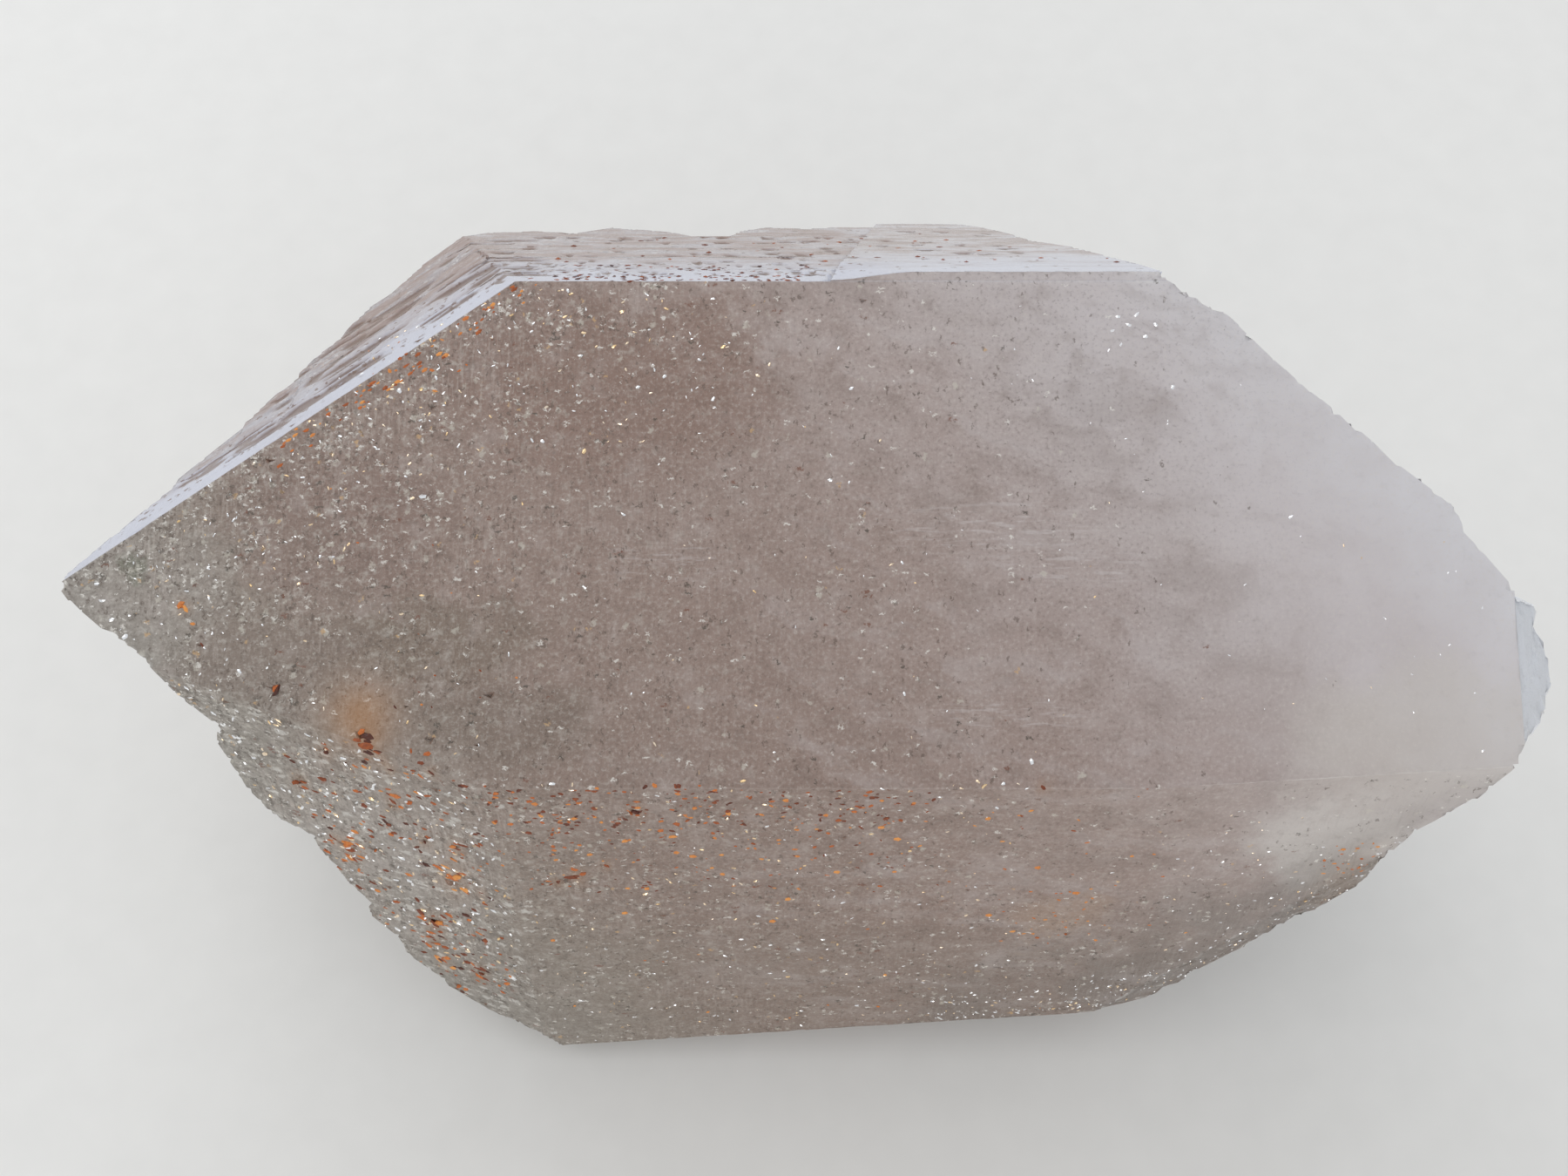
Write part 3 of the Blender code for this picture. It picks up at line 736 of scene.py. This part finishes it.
class Recipe:
    """A material and the wires that make it."""

    def __init__(self, name):
        self.material = bpy.data.materials.new(name)
        self.material.use_nodes = True
        self.tree = self.material.node_tree
        self.tree.nodes.clear()

    def node(self, kind, settings, sockets, output=0):
        """Adds a node: first its settings, then the values or wires of its sockets."""
        made = self.tree.nodes.new(kind)
        for name, value in settings.items():
            if name == "stops":
                while len(made.color_ramp.elements) < len(value):
                    made.color_ramp.elements.new(0.5)
                for element, (position, colour) in zip(made.color_ramp.elements, value):
                    element.position = position
                    element.color = colour
            else:
                setattr(made, name, value)
        for name, value in sockets.items():
            if isinstance(value, Wire):
                self.tree.links.new(value.socket, made.inputs[name])
            else:
                made.inputs[name].default_value = value
        return Wire(self, made.outputs[output]) if made.outputs else None

    def blend(self, share, colour, other):
        """One colour where share is 0 and the other where it is 1."""
        sockets = {0: share, 6: colour, 7: other}
        return self.node("ShaderNodeMix", {"data_type": "RGBA"}, sockets, 2)

    def stretched(self, place, factors):
        """A place scaled along each axis, which squeezes what is drawn there."""
        return self.node("ShaderNodeVectorMath", {"operation": "MULTIPLY"}, {0: place, 1: factors})

    def noise(self, place, scale, detail=2.0, roughness=0.5):
        """Smooth noise from 0 to 1, with about `scale` bumps in one unit of the place."""
        sockets = {"Vector": place, "Scale": scale, "Detail": detail, "Roughness": roughness}
        return self.node("ShaderNodeTexNoise", {}, sockets)

    def specks(self, place, scale, size, kept):
        """Specks of one size at random places, 1 in the middle; kept is the share that shows."""
        sockets = {"Vector": place, "Scale": scale, "Randomness": 1.0}
        near = self.node("ShaderNodeTexVoronoi", {}, sockets, "Distance")
        chance = self.node("ShaderNodeSeparateColor", {}, {0: near.beside("Color")})
        shows = chance.maths("LESS_THAN", chance, kept)
        return near.between(size * scale, 0.5 * size * scale) * shows

    def kept_number(self, name):
        """A number that was kept on the mesh under a name."""
        return self.node("ShaderNodeAttribute", {"attribute_name": name}, {}, "Fac")

    def finish(self, sockets):
        """The material, once the sockets of its shader are given."""
        surface = self.node("ShaderNodeBsdfPrincipled", {}, sockets)
        self.node("ShaderNodeOutputMaterial", {}, {"Surface": surface})
        return self.material


def tint(red, green, blue):
    """A colour from the 0 to 255 values of a paint chart, as the shader wants it."""
    return tuple(((v / 255 + 0.055) / 1.055) ** 2.4 for v in (red, green, blue)) + (1.0,)


print("a middle grey for the shader:", [round(v, 3) for v in tint(128, 128, 128)])

# %% [markdown]
# ## Cloudy smoky quartz
#
# The crystal is smoky brown-grey near its point and runs to milky white at the broken end. Inside
# it are clouds, veils and grains; on its skin are fine strokes left by etching. It lets some light
# through, with quartz's own refraction, and the cloud scatters the rest. The clouds could be a
# second body inside, but the quartz is too milky to look into deeply, so they are colour on the
# one closed body. That colour is a ramp along the crystal whose place is shaken by noise, so that
# no straight border shows, with a few patches laid over it and finer and finer mottling on top.

# %% Where a point is, in the crystal's own frame
quartz = Recipe("cloudy_smoky_quartz")
MILLIMETRES = 1000.0  # in a metre
turned_place = Matrix.Rotation(-LEAN, 3, "X") @ PLACE
object_place = quartz.node("ShaderNodeTexCoord", {}, {}, "Object")
place = quartz.node(
    "ShaderNodeMapping",
    {"vector_type": "POINT"},
    {
        "Vector": object_place,
        "Location": -turned_place,
        "Rotation": (-LEAN, 0.0, 0.0),
        "Scale": (MILLIMETRES,) * 3,
    },
)
along, back, up = (quartz.node("ShaderNodeSeparateXYZ", {}, {0: place}, axis) for axis in "XYZ")
print("the Mapping node moves the pattern by", [round(v, 2) for v in -turned_place], "mm")

# %% The smoke
cloud = quartz.noise(place, 0.16, 4.0, 0.55) - 0.5
eddy = quartz.noise(place, 0.6, 3.0, 0.6) - 0.5
shaken_along = along + cloud * 6.0 + eddy * 2.5
shaken_back = back + cloud * 5.0 + eddy * 3.0
slanted = shaken_along + shaken_back * 0.8
SMOKE = (  # millimetres along the crystal, colour
    (-35.0, (156, 151, 142)), (-26.0, (148, 134, 122)), (-18.0, (145, 123, 111)),
    (-5.0, (151, 128, 117)), (6.0, (162, 141, 132)), (13.0, (174, 157, 151)),
    (20.0, (188, 176, 173)), (27.0, (206, 198, 198)), (35.0, (220, 217, 219)),
)
HALF = 35.0  # millimetres: half the crystal's length
stops = [((x + HALF) / (2.0 * HALF), tint(*shade)) for x, shade in SMOKE]
smoke_place = (slanted + HALF) / (2.0 * HALF)
colour = quartz.node("ShaderNodeValToRGB", {"stops": stops}, {"Fac": smoke_place})
print("smoke:", len(SMOKE), "stops")

# %% Patches in the smoke
PATCHES = (  # middle x and y, reach along and back, strength, colour
    (-8.0, 10.0, 9.5, 5.5, 0.8, (136, 107, 93)),
    (-21.0, 3.0, 6.0, 4.5, 0.6, (134, 109, 98)),
    (-31.5, 0.5, 6.0, 4.5, 0.6, (160, 150, 141)),
    (-30.3, 1.2, 1.2, 1.0, 0.7, (104, 108, 88)),
    (-16.5, -2.5, 5.5, 2.6, 0.65, (122, 106, 90)),
    (-13.5, -6.5, 5.5, 2.6, 0.55, (122, 107, 94)),
    (-21.0, -13.0, 7.5, 5.5, 0.6, (172, 162, 154)),
    (-24.0, -3.5, 5.0, 3.0, 0.6, (130, 112, 100)),
    (28.5, -13.5, 2.2, 1.6, 0.3, (196, 150, 108)),
    (13.5, -15.5, 2.6, 1.4, 0.18, (204, 164, 122)),
    (30.0, -7.0, 8.0, 3.8, 0.34, (212, 206, 194)),
    (26.5, -11.5, 5.0, 2.4, 0.7, (216, 210, 204)),
)


def oval(across, deep, x, y, reach_along, reach_back):
    """0 in the middle of an oval and 1 on its rim, from the wires of a place."""
    return ((across - x) / reach_along) ** 2.0 + ((deep - y) / reach_back) ** 2.0


for x, y, reach_along, reach_back, strength, shade in PATCHES:
    gap = oval(shaken_along, shaken_back, x, y, reach_along, reach_back)
    colour = quartz.blend(gap.between(1.2, 0.1) * strength, colour, tint(*shade))
print("patches:", len(PATCHES))

# %% [markdown]
# Finer things come next. How grainy the crystal is changes along it: very grainy at the point,
# where the etching went deepest, and almost smooth at the milky end. One wire carries that, and
# the mottling, the short strokes and all the grains below take their strength from it.

# %% How grainy it is
front = up.between(-0.15, -0.6) * back.between(2.0, -2.0)  # 1 on the front faces
from_rim = (along - TIP_X) * 0.58 - (back - TIP_Y) * 0.814  # millimetres in from the back rim
rim = from_rim.between(5.0, 0.5)
left_end = front * along.between(-10.0, -16.0)
broken = quartz.kept_number("broken")
low_edge = (back + along * -0.37 + 23.5).between(3.6, 0.0) * along.between(4.0, 10.0)
grainy = along.between(32.0, -36.0) ** 1.6 + rim * 0.25 + front * 0.2 + left_end * 0.25
grainy = grainy + broken * 0.4 + low_edge * 0.3
print("nodes so far:", len(quartz.tree.nodes))

# %% Mottling, coarse and fine
mottle = quartz.noise(place, 1.7, 3.0, 0.7)
mottled = grainy * 0.5 + 0.07
colour = quartz.blend(mottle.between(0.5, 0.75) * mottled, colour, tint(206, 200, 190))
colour = quartz.blend(mottle.between(0.48, 0.25) * mottled, colour, tint(92, 80, 68))
fine = quartz.noise(place, 5.0, 2.0, 0.7)
colour = quartz.blend(fine.between(0.5, 0.72) * 0.3, colour, tint(214, 206, 198))
greyer = along.between(30.0, 12.0) * 0.4  # nothing at the milky end
colour = quartz.blend(fine.between(0.48, 0.25) * greyer, colour, tint(92, 80, 70))
colour = quartz.blend(eddy.between(0.0, 0.25) * greyer * 0.6, colour, tint(198, 186, 180))
colour = quartz.blend(eddy.between(0.0, -0.25) * greyer * 0.6, colour, tint(112, 94, 84))
skirt = front * up.between(-9.0, -13.5)  # low on the front faces
colour = quartz.blend(skirt * 0.22, colour, tint(126, 115, 102))
# painted shade: the front faces are darkened in a band along their lower edge at the right
low_edge_painted_shade = low_edge * front * (cloud.between(-0.1, 0.1) * 0.4 + 0.2)
colour = quartz.blend(low_edge_painted_shade, colour, tint(118, 108, 100))
print("nodes so far:", len(quartz.tree.nodes))

# %% [markdown]
# Long things lie in the crystal too: thin pale veils where an old crack has healed, wisps of smoke
# that drift across the right half, and short strokes that etching has left near the point. All are
# noise read through a place that is squeezed one way, so that every bump in it turns into a
# streak. The wisps are also bent by the clouds, because straight ones look like wood.

# %% Veils, wisps and strokes
veil = quartz.noise(quartz.stretched(place, (0.55, 4.6, 4.6)), 1.0, 3.0, 0.65)
VEILS = (  # middle x and y, reach along and back
    (-5.5, 1.3, 3.0, 1.0), (10.0, 3.0, 6.0, 1.7), (10.5, -6.0, 4.0, 0.8), (14.0, 1.0, 4.0, 1.0),
)
for oval_shape in VEILS:
    gap = oval(along, back, *oval_shape)
    veiled = veil.between(0.5, 0.66) * gap.between(1.5, 0.0) * 0.42
    colour = quartz.blend(veiled, colour, tint(210, 201, 198))
wisp_along = (along - back * 0.35) * 0.12 + cloud
wisp_back = (back + along * 0.3) * 0.55 + cloud * 2.0 + eddy
wisp_place = quartz.node(
    "ShaderNodeCombineXYZ", {}, {"X": wisp_along, "Y": wisp_back, "Z": up * 0.6}
)
wisp = quartz.noise(wisp_place, 1.0, 4.0, 0.6)
wispy = along.between(30.0, 18.0) * along.between(-12.0, 4.0) * 0.2
colour = quartz.blend(wisp.between(0.5, 0.68) * wispy, colour, tint(204, 196, 194))
colour = quartz.blend(wisp.between(0.5, 0.32) * wispy, colour, tint(116, 98, 88))
stroke = quartz.noise(quartz.stretched(place, (7.0, 0.9, 0.9)), 1.0, 2.0, 0.6)
striped = cloud.between(-0.05, 0.1) * grainy
colour = quartz.blend(stroke.between(0.5, 0.75) * striped * 0.5, colour, tint(194, 182, 172))
colour = quartz.blend(stroke.between(0.5, 0.25) * striped * 0.4, colour, tint(98, 82, 72))
print("nodes so far:", len(quartz.tree.nodes))

# %% [markdown]
# The grains are specks at random places. Round ones would look printed, so the place is first
# pushed about by a coloured noise, which bends every speck, and squeezed along or across the
# crystal. They come in clumps. The pale ones are partly pale grains and partly painted glints, for
# sparkles too small to be flakes, and they keep to the back rim and the point. The left end of the
# front face has two more kinds, pale flecks along the crystal and dark ones across it.

# %% Places for the grains
push = quartz.node(
    "ShaderNodeTexNoise",
    {},
    {"Vector": place, "Scale": 3.5, "Detail": 3.0, "Roughness": 0.7},
    "Color",
)
bent_place = quartz.node(
    "ShaderNodeVectorMath", {"operation": "MULTIPLY_ADD"}, {0: push, 1: (0.7,) * 3, 2: place}
)
long_place = quartz.stretched(bent_place, (0.5, 1.3, 1.3))
tall_place = quartz.stretched(bent_place, (1.3, 0.55, 0.55))
clump = quartz.noise(place, 0.5, 3.0, 0.75).between(0.45, 0.6)
print("nodes so far:", len(quartz.tree.nodes))

# %% Grains in the skin
left_wall = front * along.between(-12.0, -15.5)
flecks = quartz.specks(quartz.stretched(bent_place, (0.6, 1.2, 1.2)), 1.7, 0.27, left_wall * 0.45)
colour = quartz.blend(flecks * 0.6, colour, tint(222, 218, 210))
flecks = quartz.specks(quartz.stretched(bent_place, (1.1, 0.6, 0.6)), 1.9, 0.2, left_wall * 0.3)
colour = quartz.blend(flecks * 0.6, colour, tint(84, 74, 62))
# painted glints: the pale and golden specks are partly real grains and partly painted sparkle,
# thickest along the back rim
pale_grains_and_glints = from_rim.between(12.0, 3.0) * 0.8 + front * 0.3 + 0.2
GRAINS = (
    # place, cells in a millimetre, radius, share in the smoky part, more where it is grainy,
    # strength, colour
    (bent_place, 2.0, 0.20, 0.010, pale_grains_and_glints * 0.6, 0.50, (210, 204, 190)),
    (long_place, 4.0, 0.11, 0.030, pale_grains_and_glints * 0.6, 0.75, (236, 231, 222)),
    (bent_place, 1.7, 0.15, 0.000, pale_grains_and_glints * 0.5, 0.65, (208, 168, 116)),
    (long_place, 2.4, 0.13, 0.008, 0.38, 0.75, (66, 58, 44)),
    (tall_place, 4.2, 0.10, 0.050, 0.95, 0.58, (84, 68, 54)),
    (long_place, 1.9, 0.15, 0.000, 0.24, 0.75, (116, 66, 40)),
)
nearer = along.between(22.0, 4.0)
for where, cells, radius, share, more, strength, shade in GRAINS:
    shown = grainy * (clump * 0.9 + 0.1) * more + nearer * share
    grain = quartz.specks(where, cells, radius, shown)
    colour = quartz.blend(grain * strength, colour, tint(*shade))
print("nodes so far:", len(quartz.tree.nodes))

# %% [markdown]
# The surfaces then differ. The growth layers at the back are painted pale and bluish, most at the
# top, as a painted reflection of bright light behind them, with a rosy band lower down and brown in
# their grooves. Edges are pale, partly bruised quartz and partly a painted highlight; pits and
# stains are rusty; the lower rim of the break is darkened as painted shade; and the broken end is
# almost white.

# %% Growth layers
growth = quartz.kept_number("growth")
groove = quartz.kept_number("groove")
# painted reflection: the growth layers are painted pale and bluish, most near the top rim, for the
# sheen of bright light behind them
painted_growth_sheen = growth * (up.between(-8.0, -1.0) * 0.6 + 0.28 + cloud * 0.4)
colour = quartz.blend(painted_growth_sheen, colour, tint(216, 218, 231))
rose = quartz.noise(quartz.stretched(place, (0.3, 0.3, 1.3)), 1.0, 4.0, 0.7)
below_rim = up.between(-1.0, -1.5)
rosy_band = (up.between(-2.5, -7.0) * 0.6 + 0.2) * below_rim
colour = quartz.blend(growth * rose.between(0.38, 0.6) * rosy_band, colour, tint(160, 132, 120))
brown_spots = growth * rose.between(0.57, 0.7) * below_rim
colour = quartz.blend(brown_spots * 0.55, colour, tint(126, 98, 80))
pits_shown = along.between(8.0, -12.0) * up.between(-6.0, -0.5) * 1.1 + 0.12
pits = quartz.specks(bent_place, 2.2, 0.17, pits_shown)
colour = quartz.blend(growth * pits * up.between(-0.5, -0.9) * 0.8, colour, tint(112, 78, 58))
colour = quartz.blend(groove.between(0.05, 0.6) * growth * 0.8, colour, tint(116, 86, 68))
print("nodes so far:", len(quartz.tree.nodes))

# %% The broken end, edges and rust
worn = quartz.kept_number("worn")
rusty = quartz.kept_number("stain")
pitted = quartz.kept_number("pit")
bruise = quartz.noise(place, 2.2, 3.0, 0.6).between(0.35, 0.65)
# painted shade: the broken surfaces low at the front are darkened
low_rim_shade = broken * back.between(-7.0, -12.0) * along.between(0.0, 12.0)
colour = quartz.blend(low_rim_shade * 0.4, colour, tint(112, 104, 96))
pale_end = broken * along.between(18.0, 30.0) * back.between(-12.0, -6.0)
colour = quartz.blend(pale_end * 0.8, colour, tint(232, 235, 240))
# painted highlight: edges are painted pale, partly bruised quartz and partly the glow of light
# through thin edges
colour = quartz.blend(worn.between(0.1, 0.8) * (bruise * 0.5 + 0.3), colour, tint(234, 230, 224))
colour = quartz.blend(rusty * 0.7, colour, tint(180, 124, 66))
colour = quartz.blend(pitted * bruise * 0.55, colour, tint(140, 84, 46))
print("nodes so far:", len(quartz.tree.nodes))

# %% [markdown]
# The growth layers are glossy and the etched faces satin. Relief too fine for the mesh is a Bump:
# the strokes and the finest mottling, strong near the point and almost nothing on the growth
# layers.

# %% Gloss, fine relief, and the finished quartz
QUARTZ_IOR = 1.544
FINE_RELIEF = 0.00012  # metres
rough = growth * -0.2 + fine * 0.2 + worn * 0.1 + 0.26
height = (stroke * 0.4 + fine * 0.8) * (grainy + 0.12) * (1.0 - growth * 0.85)
bump = quartz.node(
    "ShaderNodeBump", {}, {"Strength": 0.6, "Distance": FINE_RELIEF, "Height": height}
)
quartz_finish = quartz.finish({
    "Base Color": colour,
    "Roughness": rough,
    "IOR": QUARTZ_IOR,
    "Transmission Weight": 0.2,
    "Normal": bump,
})
crystal.data.materials.append(quartz_finish)
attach(crystal, "root")
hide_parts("crystal")
print("quartz:", len(quartz.tree.nodes), "nodes")

# %% [markdown]
# ## Rust and glint finishes
#
# Rust is dull, dark where it is thick and orange where it is thin, so its colour follows the tone
# kept on each flake. A glint is a mirror-bright face; the golden ones lie under a film of rust.

# %% Rust finish
iron = Recipe("rust")
iron_place = iron.node("ShaderNodeTexCoord", {}, {}, "Object")
iron_grain = iron.noise(iron_place, 9000.0, 3.0, 0.6)
iron_tone = iron.kept_number("tone")
RUST_TONES = (  # tone, colour
    (0.0, (64, 26, 14)), (0.35, (124, 58, 24)), (0.7, (186, 98, 38)), (1.0, (222, 150, 76)),
)
iron_stops = [(tone, tint(*shade)) for tone, shade in RUST_TONES]
iron_shade = iron_tone + (iron_grain - 0.5) * 0.5
iron_colour = iron.node("ShaderNodeValToRGB", {"stops": iron_stops}, {"Fac": iron_shade})
iron_rough = iron_grain * 0.3 + 0.45
rust.data.materials.append(iron.finish({"Base Color": iron_colour, "Roughness": iron_rough}))
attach(rust, "root")
print("rust finish:", len(iron.tree.nodes), "nodes")

# %% Glint finish
mirror = Recipe("clean_fracture")
mirror_tone = mirror.kept_number("tone")
mirror_colour = mirror.blend(mirror_tone, tint(250, 250, 250), tint(250, 214, 160))
mirror_grain = mirror.noise(mirror.node("ShaderNodeTexCoord", {}, {}, "Object"), 6000.0)
mirror_rough = mirror_grain * 0.1 + 0.08
glints.data.materials.append(
    mirror.finish({"Base Color": mirror_colour, "Metallic": 0.85, "Roughness": mirror_rough})
)
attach(glints, "root")
print("glint finish:", len(mirror.tree.nodes), "nodes")

# %% [markdown]
# ## Floor, light and camera
#
# A wide pale floor and a pale sky give soft light from all round, as in a small studio tent. One
# big soft panel overhead shapes the top face, and a low one in front lifts the front faces. A
# third one behind lights the growth layers, which face away from the camera and only shine if
# there is something bright behind them. The camera looks down from in front, steeply enough to see
# the whole top face.

# %% Floor
FLOOR_HALF = 1.5  # metres
floor_mesh = bmesh.new()
bmesh.ops.create_grid(floor_mesh, x_segments=1, y_segments=1, size=FLOOR_HALF)
floor_data = bpy.data.meshes.new("floor")
floor_mesh.to_mesh(floor_data)
floor_mesh.free()
floor = bpy.data.objects.new("floor", floor_data)
bpy.context.scene.collection.objects.link(floor)
paper = Recipe("pale_paper")
paper_grain = paper.noise(paper.node("ShaderNodeTexCoord", {}, {}, "Object"), 400.0)
paper_colour = paper.blend(paper_grain, tint(226, 224, 220), tint(232, 230, 226))
floor_data.materials.append(paper.finish({"Base Color": paper_colour, "Roughness": 0.9}))
floor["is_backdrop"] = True
print("floor:", 2.0 * FLOOR_HALF, "m across")

# %% Light
bpy.context.scene.view_settings.view_transform = "Standard"
world = bpy.data.worlds.new("pale_tent")
bpy.context.scene.world = world
world.use_nodes = True
sky = world.node_tree.nodes["Background"].inputs
sky["Color"].default_value = (0.93, 0.96, 1.0, 1.0)
sky["Strength"].default_value = 0.7


def panel(name, place, aim, size, power, colour):
    """A soft rectangular light at a place, in metres, turned towards a point."""
    light = bpy.data.lights.new(name, "AREA")
    light.shape = "RECTANGLE"
    light.size, light.size_y = size
    light.energy = power
    light.color = colour
    lamp = bpy.data.objects.new(name, light)
    lamp.location = place
    lamp.rotation_euler = (Vector(aim) - Vector(place)).to_track_quat("-Z", "Y").to_euler()
    lamp.visible_camera = False
    bpy.context.scene.collection.objects.link(lamp)


PANELS = (  # name, place, aim, size in metres, power in watts, colour
    ("overhead", (-0.15, 0.10, 0.45), (0.0, 0.0, 0.02), (0.5, 0.4), 0.46, (1.0, 0.98, 0.95)),
    ("front_fill", (0.0, -0.6, 0.13), (0.0, 0.0, 0.015), (0.6, 0.2), 1.0, (1.0, 0.99, 0.97)),
    ("back_window", (-0.12, 0.28, 0.22), (0.0, 0.0, 0.02), (0.4, 0.2), 0.42, (0.9, 0.95, 1.0)),
)
for one_panel in PANELS:
    panel(*one_panel)
print("soft panels:", len(PANELS))

# %% Camera
CAMERA_PLACE = (-0.0012466, -0.0383990, 0.1038453)  # metres
CAMERA_TILT = math.radians(24.0)  # away from straight down
camera_data = bpy.data.cameras.new("camera")
camera_data.lens = 40.0
camera_data.sensor_width = 36.0
camera_data.clip_start = 0.001
camera = bpy.data.objects.new("camera", camera_data)
camera.location = CAMERA_PLACE
camera.rotation_euler = (CAMERA_TILT, 0.0, 0.0)
bpy.context.scene.collection.objects.link(camera)
bpy.context.scene.camera = camera
print("camera lens:", camera_data.lens, "mm")

# %% [markdown]
# ## The size, before and after
#
# The relief only goes inwards, so the dressed crystal's box has to be within the solid's. Both
# boxes are put in a small dictionary, and the last line prints them.

# %% Size and finish
sizes = {"cad": cad_box, "dressed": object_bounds()}
sizes = {name: [list(corner) for corner in box] for name, box in sizes.items()}
print("box before and after, metres:", sizes)
